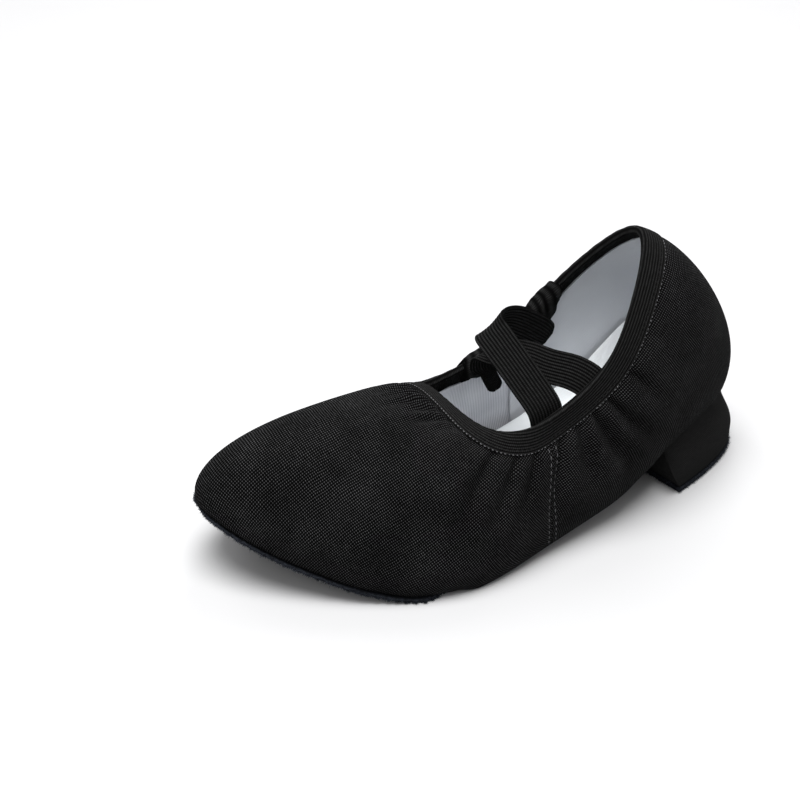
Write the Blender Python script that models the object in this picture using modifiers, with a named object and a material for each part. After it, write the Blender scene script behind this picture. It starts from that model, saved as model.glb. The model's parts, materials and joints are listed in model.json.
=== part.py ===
"""Canvas ballet slipper (left foot) with a low block heel, a split sole and crossed elastic straps.

Metres, +Z up, toe towards -Y, the wearer's left towards +X. The slipper stands on z = 0.
Shapes are worked out in millimetres as (x, s, z), where s runs forward from the back of the heel,
and are turned into world metres at the very end by to_world().
"""

import math

import bmesh
import bpy
import numpy as np
from mathutils import Matrix

# ---------------------------------------------------------------- driving dimensions, millimetres
LENGTH = 241.0
ORIGIN_X, ORIGIN_S = 2.8, 119.5        # the middle of the slipper's outline, on the floor

# Twelve stations round the slipper, every 30 degrees: 0 is the middle of the heel, 90 the outer
# side, 180 the toe and 270 the inner side.
FEATHER_X = (0, 18, 33, 43, 47, 20, -11, -33, -42, -32, -30, -18)
FEATHER_S = (3, 24, 70, 120, 167, 217, 241, 225, 178, 120, 62, 18)
TOPLINE_X = (-1, 18, 26, 30, 30, 20, -4, -23, -28, -27, -26, -19)
TOPLINE_S = (54, 68, 84, 106, 123, 135, 138, 139, 136, 107, 85, 66)
TOPLINE_Z = (112, 93, 71, 59, 55, 54, 53, 50, 47, 56, 73, 95)
# How far the wall leaves the feather edge outwards and upwards, and how it comes in to the topline.
LOW_OUT = (6, 5.5, 5, 7, 9, 7.5, 4.5, 7, 8, 6.5, 5.5, 6)
LOW_UP = (26, 23, 19, 15, 14, 17, 22.8, 25.3, 18, 15, 19, 24)
TOP_OUT = (28, 21, 7, 1, 9, 17, 24, 22, 9, 2, 7, 21)
TOP_DOWN = (12, 15, 14, 13, 6, -10, -20, -9, 4, 13, 14, 15)

# Height of the slipper's underside along its length: seat, waist, flat tread, toe spring.
UNDERSIDE_S = (0, 20, 40, 60, 85, 115, 138, 158, 174, 192, 210, 225, 241)
UNDERSIDE_Z = (32, 31, 27.5, 20.5, 11.5, 5, 1.6, 0, 0, 3.5, 10.5, 17.5, 27)

SEAM_FOOT, SEAM_TOP = (86, 272), (98, 263)   # side seams, degrees at the feather edge and the topline
BINDING_WIDTH = 10.5
# The folded binding in section: distance below the topline, and depth under the canvas face.
BINDING_SECTION = (
    (10.5, -1.2), (7, -1.2), (3.5, -1.2), (0.8, -1.0), (-0.4, 0.4), (0.8, 1.7), (3.5, 1.9), (7, 1.9),
    (9.5, 1.9), (9.5, 1.2), (5, 1.2), (1.6, 1.1), (1.6, -0.4), (5, -0.4), (10.5, -0.4),
)
CANVAS = 0.8
LINING = 0.6
COUNTER = 0.8
COUNTER_ANGLE = 62                     # the counter reaches this far round each side
LINING_DEPTH = 1.3                     # outer face of the vamp lining, below the canvas face
COUNTER_DEPTH = 1.4
HEEL_LINING_DEPTH = 2.7
MARGIN, HEEL_MARGIN = 12.0, 8.0        # canvas turned under the boards
OUTSOLE = 1.8
OUTSOLE_BACK, OUTSOLE_TOE = 161.0, 240.5
FLEX_S, FLEX_Z = 113.0, 5.5            # the arch hinge
FOREFOOT = ("vamp", "vamp_lining", "outsole_forefoot", "bottom_filler", "forefoot_board")   # turn on it

# Layers inside, as heights above the underside.
SHANK_Z, SHANK_T = 1.2, 0.8
SHANK_HALF_WIDTH = 6.0
BOARD_Z, BOARD_T = 2.3, 1.6
FILLER_Z, FILLER_T = 0.2, 1.5
HEAD_Z, HEAD_T = 4.3, 0.6
SOCK_Z, SOCK_T = 5.4, 2.2
BOARD_INSET, SOCK_INSET = 4.6, 4.6

HEEL_BREAST_TOP, HEEL_BREAST_FOOT = 54.0, 40.0
TOP_LIFT = 3.0
HEEL_COVER = 0.8
HEEL_FLARE = 4.9                       # how far the foot of the heel stands out under the seat
HEEL_WAIST = 6.2                       # how far the heel narrows between its foot and the seat
SEAT_SPREAD = 0.8                      # how far it widens again at the seat
BREAST_BULGE = 4.0                     # how far the front of the heel bulges forward
BLOCK_TOP = 0.94                       # the core stops this share of the way up to the seat
SEAT_GAP = 0.4                         # between the heel and the canvas above it
NAILS = ((-4.5, 20), (4.5, 20), (-12, 38), (12, 38))
HEEL_SCREW = (0, 27)
RIVETS = (66, 92)
GAP = 0.3

COLUMN = 5.0                           # degrees between the columns of a wall panel
LOW_ROWS = (0, 0.06, 0.18, 0.32, 0.46, 0.6, 0.74)   # rows of a wall panel, as shares of its height

COLOURS = {
    "canvas": ((0.012, 0.012, 0.013), 0.9, 0.0),
    "elastic": ((0.010, 0.010, 0.011), 0.75, 0.0),
    "lining": ((0.74, 0.76, 0.79), 0.85, 0.0),
    "twill": ((0.82, 0.83, 0.86), 0.85, 0.0),
    "suede": ((0.03, 0.033, 0.04), 0.95, 0.0),
    "board": ((0.45, 0.36, 0.25), 0.9, 0.0),
    "steel": ((0.6, 0.6, 0.62), 0.35, 1.0),
    "heel_plastic": ((0.06, 0.06, 0.065), 0.5, 0.0),
}


# ---------------------------------------------------------------- curves through stations
def ring_curve(values):
    """A smooth closed curve through evenly spaced values, read at an angle in degrees."""
    y = np.array(values, float)
    n = len(y)
    matrix = 4 * np.eye(n) + np.roll(np.eye(n), 1, 0) + np.roll(np.eye(n), -1, 0)
    bend = np.linalg.solve(matrix, 6 * (np.roll(y, -1) - 2 * y + np.roll(y, 1)))

    def at(angle):
        t = np.mod(np.asarray(angle, float) / 360 * n, n)
        i = np.floor(t).astype(int) % n
        j = (i + 1) % n
        f = t - np.floor(t)
        g = 1 - f
        return g * y[i] + f * y[j] + (g**3 - g) * bend[i] / 6 + (f**3 - f) * bend[j] / 6

    return at


def monotone_curve(xs, ys):
    """A smooth curve through points that never overshoots between them."""
    xs, ys = np.array(xs, float), np.array(ys, float)
    step = np.diff(xs)
    slope = np.diff(ys) / step
    tangent = np.zeros(len(xs))
    for i in range(1, len(xs) - 1):
        if slope[i - 1] * slope[i] > 0:
            w1, w2 = 2 * step[i] + step[i - 1], step[i] + 2 * step[i - 1]
            tangent[i] = (w1 + w2) / (w1 / slope[i - 1] + w2 / slope[i])
    tangent[0], tangent[-1] = slope[0], slope[-1]

    def at(x):
        x = np.clip(np.asarray(x, float), xs[0], xs[-1])
        i = np.clip(np.searchsorted(xs, x, side="right") - 1, 0, len(xs) - 2)
        h = step[i]
        f = (x - xs[i]) / h
        return (
            (1 + 2 * f) * (1 - f) ** 2 * ys[i]
            + f * (1 - f) ** 2 * h * tangent[i]
            + f * f * (3 - 2 * f) * ys[i + 1]
            + f * f * (f - 1) * h * tangent[i + 1]
        )

    return at


def smooth_step(x, low, high):
    f = np.clip((np.asarray(x, float) - low) / (high - low), 0, 1)
    return f * f * (3 - 2 * f)


feather_x, feather_s = ring_curve(FEATHER_X), ring_curve(FEATHER_S)
topline_x, topline_s, topline_z = map(ring_curve, (TOPLINE_X, TOPLINE_S, TOPLINE_Z))
low_out, low_up, top_out, top_down = map(ring_curve, (LOW_OUT, LOW_UP, TOP_OUT, TOP_DOWN))
underside = monotone_curve(UNDERSIDE_S, UNDERSIDE_Z)


def canvas_lift(s):
    """The canvas lies on the outsole at the forefoot, and is itself the underside at the waist."""
    return (OUTSOLE + 2 * GAP) * smooth_step(s, OUTSOLE_BACK - 12, OUTSOLE_BACK - 1)


def outward(fx, fs, angle):
    """Unit plan vector that points out of a ring at each angle."""
    dx = fx(angle + 0.5) - fx(angle - 0.5)
    ds = fs(angle + 0.5) - fs(angle - 0.5)
    normal = np.stack([ds, -dx, np.zeros_like(dx)], -1)
    return normal / np.linalg.norm(normal, axis=-1, keepdims=True)


# ---------------------------------------------------------------- the wall of the upper
FINE = np.linspace(0, 1, 61)


def wall_lines(angle):
    """For each angle, a fine line up the canvas face from the feather edge to the topline."""
    angle = np.atleast_1d(np.asarray(angle, float))
    up = np.array([0, 0, 1.0])
    s = feather_s(angle)
    foot = np.stack([feather_x(angle), s, underside(s) + canvas_lift(s)], -1)
    top = np.stack([topline_x(angle), topline_s(angle), topline_z(angle)], -1)
    c1 = foot + outward(feather_x, feather_s, angle) * low_out(angle)[:, None]
    c1 = c1 + up * low_up(angle)[:, None]
    c2 = top + outward(topline_x, topline_s, angle) * top_out(angle)[:, None]
    c2 = c2 - up * top_down(angle)[:, None]
    h = FINE[None, :, None]
    foot, c1, c2, top = (p[:, None, :] for p in (foot, c1, c2, top))
    return (1 - h) ** 3 * foot + 3 * h * (1 - h) ** 2 * c1 + 3 * h * h * (1 - h) * c2 + h**3 * top


def wall_height(angle):
    """Length of the wall line at each angle, from the feather edge to the topline."""
    return np.linalg.norm(np.diff(wall_lines(angle), axis=1), axis=2).sum(1)


def wall_point(angle, share):
    """Points at a share of the way up the wall."""
    angle, share = np.broadcast_arrays(np.asarray(angle, float), np.asarray(share, float))
    lines = wall_lines(angle.ravel())
    steps = np.linalg.norm(np.diff(lines, axis=1), axis=2)
    arc = np.concatenate([np.zeros((len(lines), 1)), steps.cumsum(1)], 1)
    want = share.ravel() * arc[:, -1]
    out = np.empty((len(lines), 3))
    for i, (line, along) in enumerate(zip(lines, arc)):
        out[i] = [np.interp(want[i], along, line[:, k]) for k in range(3)]
    return out.reshape(angle.shape + (3,))


def wall_normal(angle, share):
    """Unit normals of the wall, pointing out of the slipper."""
    share = np.clip(share, 0.004, 0.996)
    across = wall_point(angle + 0.4, share) - wall_point(angle - 0.4, share)
    along = wall_point(angle, share + 0.004) - wall_point(angle, share - 0.004)
    normal = np.cross(across, along)
    return normal / np.linalg.norm(normal, axis=-1, keepdims=True)


def wall_layer(angle, share, depth):
    """Points at a depth under the canvas face."""
    return wall_point(angle, share) - depth * wall_normal(angle, share)


# ---------------------------------------------------------------- the underside of the upper
def side_x(s, sign):
    """Half outline of the feather edge at distance s: sign +1 for the outer side, -1 for the inner."""
    angles = np.linspace(0, 180, 181) if sign > 0 else np.linspace(360, 180, 181)
    return np.interp(s, feather_s(angles), feather_x(angles))


def middle_x(s):
    return (side_x(s, 1) + side_x(s, -1)) / 2


def margin_point(angle, share):
    """The canvas turned under, from the feather edge (share 0) inwards. It closes under the waist."""
    s = feather_s(angle)
    goal_s = np.clip(s, 26, 208)
    goal = np.stack([middle_x(goal_s), goal_s], -1)
    edge = np.stack([feather_x(angle), s], -1)
    run = np.linalg.norm(goal - edge, axis=-1)
    closed = smooth_step(s, 42, 56) * (1 - smooth_step(s, OUTSOLE_BACK, OUTSOLE_BACK + 14))
    turned = HEEL_MARGIN + (MARGIN - HEEL_MARGIN) * smooth_step(s, 40, 60)
    reach = turned + (run - 0.6 - turned) * closed
    plan = edge + (goal - edge) * (share * reach / run)[..., None]
    height = underside(plan[..., 1]) + canvas_lift(plan[..., 1])
    return np.concatenate([plan, height[..., None]], -1)


# ---------------------------------------------------------------- making objects
def to_world(points):
    p = np.asarray(points, float)
    return np.stack([p[..., 0] - ORIGIN_X, ORIGIN_S - p[..., 1], p[..., 2]], -1) / 1000


def material(name):
    if name in bpy.data.materials:
        return bpy.data.materials[name]
    colour, rough, metal = COLOURS[name]
    made = bpy.data.materials.new(name)
    made.use_nodes = True
    shader = made.node_tree.nodes["Principled BSDF"]
    shader.inputs["Base Color"].default_value = (*colour, 1)
    shader.inputs["Roughness"].default_value = rough
    shader.inputs["Metallic"].default_value = metal
    return made


def mesh_object(name, points, faces, look, smooth=True):
    mesh = bpy.data.meshes.new(name)
    mesh.from_pydata([tuple(p) for p in to_world(points).reshape(-1, 3)], [], faces)
    mesh.materials.append(material(look))
    if smooth:
        mesh.shade_smooth()
        mesh.set_sharp_from_angle(angle=math.radians(50))
    made = bpy.data.objects.new(name, mesh)
    slipper.objects.link(made)
    return made


def grid_faces(columns, rows, closed=False):
    """Quads of a grid of points, stored column by column."""
    faces = []
    for i in range(columns if closed else columns - 1):
        a, b = i * rows, (i + 1) % columns * rows
        faces += [(a + k, b + k, b + k + 1, a + k + 1) for k in range(rows - 1)]
    return faces


def sheet_object(name, grid, thickness, look):
    """A sheet through a grid of points that grows by its thickness: inwards, or upwards for a board."""
    columns, rows = grid.shape[:2]
    made = mesh_object(name, grid, grid_faces(columns, rows), look)
    solidify = made.modifiers.new("Thickness", "SOLIDIFY")
    solidify.thickness = thickness / 1000
    solidify.offset = 1
    solidify.use_even_offset = True
    return made


def loft_object(name, rings, look, capped=True, joined=False):
    """Closed rings of equal length skinned one after the other, with flat caps or joined end to end."""
    count, around = len(rings), len(rings[0])
    faces = []
    for i in range(count if joined else count - 1):
        a, b = i * around, (i + 1) % count * around
        faces += [(a + k, b + k, b + (k + 1) % around, a + (k + 1) % around) for k in range(around)]
    if capped and not joined:
        faces.append(tuple(range(around)))
        faces.append(tuple(range((count - 1) * around, count * around))[::-1])
    made = mesh_object(name, np.array(rings), faces, look)
    face_out(made)
    return made


def face_out(made):
    shape = bmesh.new()
    shape.from_mesh(made.data)
    bmesh.ops.recalc_face_normals(shape, faces=shape.faces)
    shape.to_mesh(made.data)
    shape.free()


def cut(target, cutter):
    boolean = target.modifiers.new(cutter.name, "BOOLEAN")
    boolean.operation = "DIFFERENCE"
    boolean.object = cutter


# ---------------------------------------------------------------- the upper
def panel(name, start, end, depth, thickness, look, first_row, top_arcs, margin):
    """A wall panel between two edges, each an angle as a function of the share up the wall.

    Its rows are LOW_ROWS from first_row on, then one at each of top_arcs, in mm below the topline.
    """
    columns = int(round(abs(end(0.5) - start(0.5)) / COLUMN)) + 1
    u = np.linspace(0, 1, columns)
    heights = wall_height(start(0.8) + (end(0.8) - start(0.8)) * u)
    share = [np.full(columns, row) for row in LOW_ROWS[first_row:]]
    share += [1 - arc / heights for arc in top_arcs]
    share, u = np.stack(share, 1), u[:, None]
    wall = wall_layer(start(share) + (end(share) - start(share)) * u, share, depth)
    if margin:
        turned = np.linspace(1, 0, 5)[:-1][None, :]
        foot_angle = start(0.0) + (end(0.0) - start(0.0)) * u
        under = margin_point(foot_angle + 0 * turned, turned + 0 * u)
        wall = np.concatenate([under, wall], 1)
    return sheet_object(name, wall, thickness, look)


def make_upper():
    def outer(share):
        return SEAM_FOOT[0] + (SEAM_TOP[0] - SEAM_FOOT[0]) * share

    def inner(share):
        return SEAM_FOOT[1] + (SEAM_TOP[1] - SEAM_FOOT[1]) * share

    def half_gap(share):
        return 0.12 + 0.4 * share

    canvas = (0, CANVAS, "canvas", 0, (BINDING_WIDTH, 6, 2), True)
    panel("vamp", lambda h: outer(h) + half_gap(h), lambda h: inner(h) - half_gap(h), *canvas)
    panel("quarter_lateral", lambda h: 0.25 + 0 * h, lambda h: outer(h) - half_gap(h), *canvas)
    panel("quarter_medial", lambda h: inner(h) + half_gap(h), lambda h: 359.75 + 0 * h, *canvas)
    lining_top = (BINDING_WIDTH + 1,)
    panel("vamp_lining", lambda h: outer(h) + 1, lambda h: inner(h) - 1,
          LINING_DEPTH, LINING, "twill", 1, lining_top, False)
    panel("heel_lining", lambda h: inner(h) - 360 + 1, lambda h: outer(h) - 1,
          HEEL_LINING_DEPTH, LINING, "lining", 1, lining_top, False)
    panel("heel_counter", lambda h: 0 * h - COUNTER_ANGLE, lambda h: 0 * h + COUNTER_ANGLE,
          COUNTER_DEPTH, COUNTER, "board", 1, (), False)


def make_binding():
    """Folded elastic over the top edge: an outer leaf, a turn over the edge, and an inner leaf."""
    angle = np.arange(0, 360, COLUMN)
    length = wall_height(angle)
    columns = []
    for arc, depth in BINDING_SECTION:
        share = 1 - max(arc, 0.0) / length
        ring = wall_layer(angle, share, depth)
        ring[:, 2] += max(-arc, 0.0)
        columns.append(ring)
    loft_object("topline_binding", np.stack(columns, 1), "elastic", joined=True)


# ---------------------------------------------------------------- soles and boards
def plate(name, back, front, inset, height, thickness, look, stations=15, across=7, cosine=(True, True)):
    """A flat sheet along the underside, inset from the feather edge. Round ends get closer stations."""
    f = np.linspace(0, 1, stations)
    if all(cosine):
        f = (1 - np.cos(np.pi * f)) / 2
    elif cosine[1]:
        f = np.sin(np.pi / 2 * f)
    else:
        f = 1 - np.cos(np.pi / 2 * f)
    s = back + (front - back) * f
    left, right = side_x(s, 1) - inset, side_x(s, -1) + inset
    half = np.maximum((left - right) / 2, 1.0)
    w = np.linspace(-1, 1, across)[None, :]
    x = ((left + right) / 2)[:, None] + half[:, None] * w
    y = s[:, None] + 0 * w
    grid = np.stack([x, y, underside(y) + height(y)], -1)
    return sheet_object(name, grid, thickness, look)


def make_soles():
    plate("outsole_forefoot", OUTSOLE_BACK, OUTSOLE_TOE, -1.2, lambda s: 0 * s, OUTSOLE, "suede",
          25, 9, cosine=(False, True))
    plate("bottom_filler", OUTSOLE_BACK + 14, OUTSOLE_TOE - MARGIN - 10, MARGIN + 5,
          lambda s: canvas_lift(s) + FILLER_Z, FILLER_T, "board", 9, 5)
    plate("forefoot_board", FLEX_S + 5, LENGTH - 7, BOARD_INSET,
          lambda s: canvas_lift(s) + BOARD_Z, BOARD_T, "board", 13, 7, cosine=(False, True))
    plate("insole_sock", 8, LENGTH - 8, SOCK_INSET,
          lambda s: canvas_lift(s) + SOCK_Z, SOCK_T, "twill", 25, 9)


def make_shank():
    board = plate("shank_board", 7.5, FLEX_S - 5, BOARD_INSET, lambda s: BOARD_Z + 0 * s, BOARD_T,
                  "board", 15, 7, cosine=(True, False))
    s = np.linspace(30, FLEX_S - 8, 9)[:, None]
    x = middle_x(s) + SHANK_HALF_WIDTH * np.linspace(-1, 1, 3)[None, :]
    y = s + 0 * x
    strip = np.stack([x, y, underside(y) + SHANK_Z], -1)
    shank = sheet_object("steel_shank", strip, SHANK_T, "steel")
    return board, shank


# ---------------------------------------------------------------- the heel
def inset_outline(plan, distance):
    """A closed outline moved inwards by a distance, with mitred corners. It runs anticlockwise in (x, s)."""
    ahead = np.roll(plan, -1, 0) - plan
    ahead /= np.linalg.norm(ahead, axis=1, keepdims=True)
    inward = np.stack([-ahead[:, 1], ahead[:, 0]], -1)
    before = np.roll(inward, 1, 0)
    return plan + distance * (inward + before) / (1 + (inward * before).sum(1, keepdims=True))


def heel_ring(height_share, inset):
    """One closed outline of the heel: round the back between the breast corners, then across the breast."""
    side, breast = 23, 5
    corner = HEEL_BREAST_FOOT + (HEEL_BREAST_TOP - HEEL_BREAST_FOOT) * height_share
    angles = np.linspace(0, 90, 91)
    outer = np.interp(corner, feather_s(angles), angles)
    inner = np.interp(corner, feather_s(-angles), angles)
    angle = np.linspace(-inner, outer, side)
    back = np.stack([feather_x(angle), feather_s(angle)], -1)
    across = np.linspace(0, 1, breast + 2)[1:-1, None]
    breast_line = back[-1] + (back[0] - back[-1]) * across
    breast_line[:, 1] += BREAST_BULGE * np.sin(np.pi * across[:, 0])
    plan = np.concatenate([back, breast_line])
    waist = HEEL_WAIST * smooth_step(height_share, 0.25, 0.88)
    spread = SEAT_SPREAD * smooth_step(height_share, 0.88, 1.0)
    return inset_outline(plan, waist - spread - HEEL_FLARE + inset)


def heel_rings(inset, low, top_share=1.0, levels=9):
    """Outlines of the heel stacked from `low` up to a share of the way to the sloping seat."""
    rings = []
    for share in np.linspace(0, top_share, levels):
        plan = heel_ring(share, inset)
        seat = underside(plan[:, 1]) - SEAT_GAP
        height = low + (seat - low) * share
        rings.append(np.concatenate([plan, height[:, None]], 1))
    return rings


def make_heel():
    lift_rings = []
    for height, inset in ((0.0, 0.2), (0.4, -0.1), (TOP_LIFT - 0.3, 0.0), (TOP_LIFT, 0.2)):
        plan = heel_ring(0.0, inset)
        lift_rings.append(np.concatenate([plan, np.full((len(plan), 1), height)], 1))
    loft_object("heel_top_lift", lift_rings, "suede")

    low = TOP_LIFT + GAP
    block = loft_object("heel_block", heel_rings(HEEL_COVER + GAP, low, BLOCK_TOP), "heel_plastic")
    outer, inner = heel_rings(0, low), heel_rings(HEEL_COVER, low)
    loft_object("heel_cover", outer + inner[::-1], "canvas", joined=True)
    return block


def turned(name, profile, place, tilt, look, sides=12):
    """A turned pin: a profile of (radius, height) in millimetres, screwed round its own axis."""
    mesh = bpy.data.meshes.new(name)
    points = [(r / 1000, 0, z / 1000) for r, z in profile]
    mesh.from_pydata(points, [(i, i + 1) for i in range(len(points) - 1)], [])
    mesh.materials.append(material(look))
    made = bpy.data.objects.new(name, mesh)
    slipper.objects.link(made)
    screw = made.modifiers.new("Turn", "SCREW")
    screw.steps = screw.render_steps = sides
    screw.use_merge_vertices = True
    screw.merge_threshold = 1e-5
    screw.use_smooth_shade = False
    made.location = to_world(place)
    made.rotation_euler = (tilt, 0, 0)
    return made


def hole(name, radius, place, tilt, half_length):
    """A cutter along the axis of a pin."""
    bpy.ops.mesh.primitive_cylinder_add(vertices=12, radius=radius / 1000, depth=2 * half_length / 1000,
                                        location=to_world(place), rotation=(tilt, 0, 0))
    made = bpy.context.object
    made.name = name
    made.display_type = "WIRE"
    made.hide_render = True
    for owner in list(made.users_collection):
        owner.objects.unlink(made)
    cutters.objects.link(made)
    return made


def make_fixings(block, board, shank):
    def pin(name, x, s, radius, depth, head_radius, look, targets):
        slope = float(underside(s + 1) - underside(s - 1)) / 2
        tilt = -math.atan(slope)
        place = (x, s, float(underside(s)))
        top = HEAD_Z + HEAD_T
        point = radius if depth > 0 else 0.0
        profile = ((0, top), (head_radius, top - 0.2), (head_radius, HEAD_Z), (radius, HEAD_Z),
                   (radius, -depth), (0, -depth - point))
        turned(name, profile, place, tilt, look)
        cutter = hole(name + "_hole", radius + GAP, place, tilt, max(depth, HEAD_Z) + 2 * radius)
        for target in targets:
            cut(target, cutter)

    for number, (x, s) in enumerate(NAILS, 1):
        pin(f"heel_nail_{number}", x, s, 0.9, 12, 2.0, "steel", (board, block))
    pin("heel_screw", *HEEL_SCREW, 1.6, 15, 3.4, "steel", (board, block))
    for number, s in enumerate(RIVETS, 1):
        pin(f"shank_rivet_{number}", float(middle_x(s)), s, 1.5, -1.35, 3.2, "steel", (board, shank))


# ---------------------------------------------------------------- elastic straps
STRAP_WIDTH, STRAP_THICK = 14.5, 1.3
# Each strap: centre line points with the direction of its width at each.
STRAP_OVER = (
    ((25.5, 108, 50), (0, 1, -0.3)), ((24, 109.5, 58.5), (0, 1, -0.3)), ((16, 112.5, 66), (0, 1, -0.35)),
    ((8, 115, 72), (0, 1, -0.4)), ((0, 117, 77), (0, 1, -0.55)), ((-7, 117, 79.5), (0, 1, -0.75)),
    ((-11.5, 111.5, 79), (0, 1, -0.9)), ((-15.5, 102, 75.3), (0, 1, -1)), ((-19.5, 90.5, 67), (0, 1, -1)),
    ((-21.5, 80.5, 58.5), (0, 1, -1)),
)
STRAP_UNDER = (
    ((23.5, 86, 54), (0, 1, -0.8)), ((22.5, 86.5, 61.5), (0, 1, -0.8)), ((16, 91, 64.8), (0, 1, -0.75)),
    ((7, 98, 65.2), (0, 1, -0.7)), ((-2, 103, 65.5), (0, 1, -0.65)), ((-12, 108.5, 63.8), (0, 1, -0.6)),
    ((-19.5, 111, 60.5), (0, 1, -0.4)), ((-22.5, 110, 53), (0, 1, -0.3)), ((-23, 106, 44), (0, 1, -0.3)),
)


def along_points(points, count):
    """Evenly spaced places on a smooth curve through a few points (Catmull-Rom)."""
    p = np.array(points, float)
    p = np.concatenate([[2 * p[0] - p[1]], p, [2 * p[-1] - p[-2]]])
    out = []
    for u in np.linspace(0, len(p) - 3 - 1e-9, count):
        i, f = int(u), u - int(u)
        a, b, c, d = p[i:i + 4]
        out.append(0.5 * (2 * b + (c - a) * f + (2 * a - 5 * b + 4 * c - d) * f * f
                          + (3 * b - a - 3 * c + d) * f**3))
    return np.array(out)


def make_strap(name, stations):
    count = 30
    centre = along_points([p for p, _ in stations], count)
    across = along_points([w for _, w in stations], count)
    forward = np.gradient(centre, axis=0)
    forward /= np.linalg.norm(forward, axis=1, keepdims=True)
    across -= forward * (across * forward).sum(1, keepdims=True)
    across /= np.linalg.norm(across, axis=1, keepdims=True)
    face = np.cross(forward, across)
    corners = ((-1, -0.6), (-0.93, -1), (0.93, -1), (1, -0.6), (1, 0.6), (0.93, 1), (-0.93, 1), (-1, 0.6))
    rings = [c + np.array([w * a * STRAP_WIDTH / 2 + f * t * STRAP_THICK / 2 for a, t in corners])
             for c, w, f in zip(centre, across, face)]
    loft_object(name, rings, "elastic")


def make_anchor(name, angle, half_angle, low_outside, low_inside):
    """A folded patch over the binding, where a strap is sewn down on the inner side."""
    angles = np.linspace(angle - half_angle, angle + half_angle, 6)
    length = wall_height(angles)
    arcs_and_depths = (
        (low_outside, -2.6), (3.5, -2.6), (0.6, -2.6), (-2.2, 0.4), (0.6, 3.4), (5, 3.6), (low_inside, 3.6),
        (low_inside, 2.6), (5, 2.6), (1.2, 2.4), (-0.9, 0.4), (1.2, -1.6), (3.5, -1.6), (low_outside, -1.6),
    )
    rings = []
    for i in range(len(angles)):
        ring = []
        for arc, depth in arcs_and_depths:
            place = wall_layer(angles[i:i + 1], 1 - max(arc, 0.0) / length[i:i + 1], depth)[0]
            place[2] += max(-arc, 0.0)
            ring.append(place)
        rings.append(ring)
    loft_object(name, rings, "canvas")


# ---------------------------------------------------------------- the whole slipper
for old in list(bpy.data.objects):
    bpy.data.objects.remove(old, do_unlink=True)

slipper = bpy.data.collections.new("ballet_slipper")
cutters = bpy.data.collections.new("cutters")
bpy.context.scene.collection.children.link(slipper)
bpy.context.scene.collection.children.link(cutters)

make_upper()
make_binding()
make_soles()
shank_board, steel_shank = make_shank()
heel_block = make_heel()
make_fixings(heel_block, shank_board, steel_shank)
make_strap("strap_over", STRAP_OVER)
make_strap("strap_under", STRAP_UNDER)
make_anchor("strap_anchor_rear", 305, 7, 7, 8)
make_anchor("strap_anchor_front", 268, 7, 7, 8)

flex_axis = bpy.data.objects.new("arch_flex_axis", None)
flex_axis.location = to_world((ORIGIN_X, FLEX_S, FLEX_Z))
slipper.objects.link(flex_axis)
for piece in FOREFOOT:
    slipper.objects[piece].parent = flex_axis
    slipper.objects[piece].matrix_parent_inverse = Matrix.Translation(-flex_axis.location)
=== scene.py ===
"""Looks of the canvas ballet slipper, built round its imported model.

Every soft piece is made here again from the slipper's own curves, which the CAD source has too. Shapes are
worked out in millimetres as (x, s, z), where s runs forward from the back of the heel, and are turned into
the frame's metres by to_world().
"""

import json
import math

import bmesh
import bpy
import numpy as np
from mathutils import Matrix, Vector

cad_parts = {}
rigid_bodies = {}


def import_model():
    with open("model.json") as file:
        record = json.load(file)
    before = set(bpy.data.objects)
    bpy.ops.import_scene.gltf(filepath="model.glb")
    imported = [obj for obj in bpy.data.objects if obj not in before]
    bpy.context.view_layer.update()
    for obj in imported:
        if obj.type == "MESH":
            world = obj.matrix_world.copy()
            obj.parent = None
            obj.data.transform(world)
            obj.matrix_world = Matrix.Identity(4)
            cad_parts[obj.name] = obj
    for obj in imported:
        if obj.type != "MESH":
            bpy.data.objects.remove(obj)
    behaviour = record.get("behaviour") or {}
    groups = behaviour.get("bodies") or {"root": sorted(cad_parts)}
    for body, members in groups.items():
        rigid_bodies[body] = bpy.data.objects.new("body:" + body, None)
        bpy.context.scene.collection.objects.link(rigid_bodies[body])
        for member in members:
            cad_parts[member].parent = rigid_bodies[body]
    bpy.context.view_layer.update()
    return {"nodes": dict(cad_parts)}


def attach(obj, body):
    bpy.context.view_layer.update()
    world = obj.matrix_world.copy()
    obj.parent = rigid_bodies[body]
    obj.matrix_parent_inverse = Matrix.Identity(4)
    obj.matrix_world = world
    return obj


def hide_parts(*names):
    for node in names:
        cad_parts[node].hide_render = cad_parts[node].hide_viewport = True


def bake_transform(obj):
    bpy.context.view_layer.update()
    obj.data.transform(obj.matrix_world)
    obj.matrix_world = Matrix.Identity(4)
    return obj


for old in list(bpy.data.objects):
    bpy.data.objects.remove(old, do_unlink=True)

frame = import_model()
nodes = frame["nodes"]

# ---- the slipper's dimensions, millimetres
ORIGIN_X, ORIGIN_S = 2.8, 119.5
# Twelve stations round the slipper, 30 degrees apart from the middle of the back: the feather edge, the
# topline, and the handles of the wall's curve between them.
FEATHER_X = (0, 18, 33, 43, 47, 20, -11, -33, -42, -32, -30, -18)
FEATHER_S = (3, 24, 70, 120, 167, 217, 241, 225, 178, 120, 62, 18)
TOPLINE_X = (-1, 18, 26, 30, 30, 20, -4, -23, -28, -27, -26, -19)
TOPLINE_S = (54, 68, 84, 106, 123, 135, 138, 139, 136, 107, 85, 66)
TOPLINE_Z = (112, 93, 71, 59, 55, 54, 53, 50, 47, 56, 73, 95)
LOW_OUT = (6, 5.5, 5, 7, 9, 7.5, 4.5, 7, 8, 6.5, 5.5, 6)
LOW_UP = (26, 23, 19, 15, 14, 17, 22.8, 25.3, 18, 15, 19, 24)
TOP_OUT = (28, 21, 7, 1, 9, 17, 24, 22, 9, 2, 7, 21)
TOP_DOWN = (12, 15, 14, 13, 6, -10, -20, -9, 4, 13, 14, 15)
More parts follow.
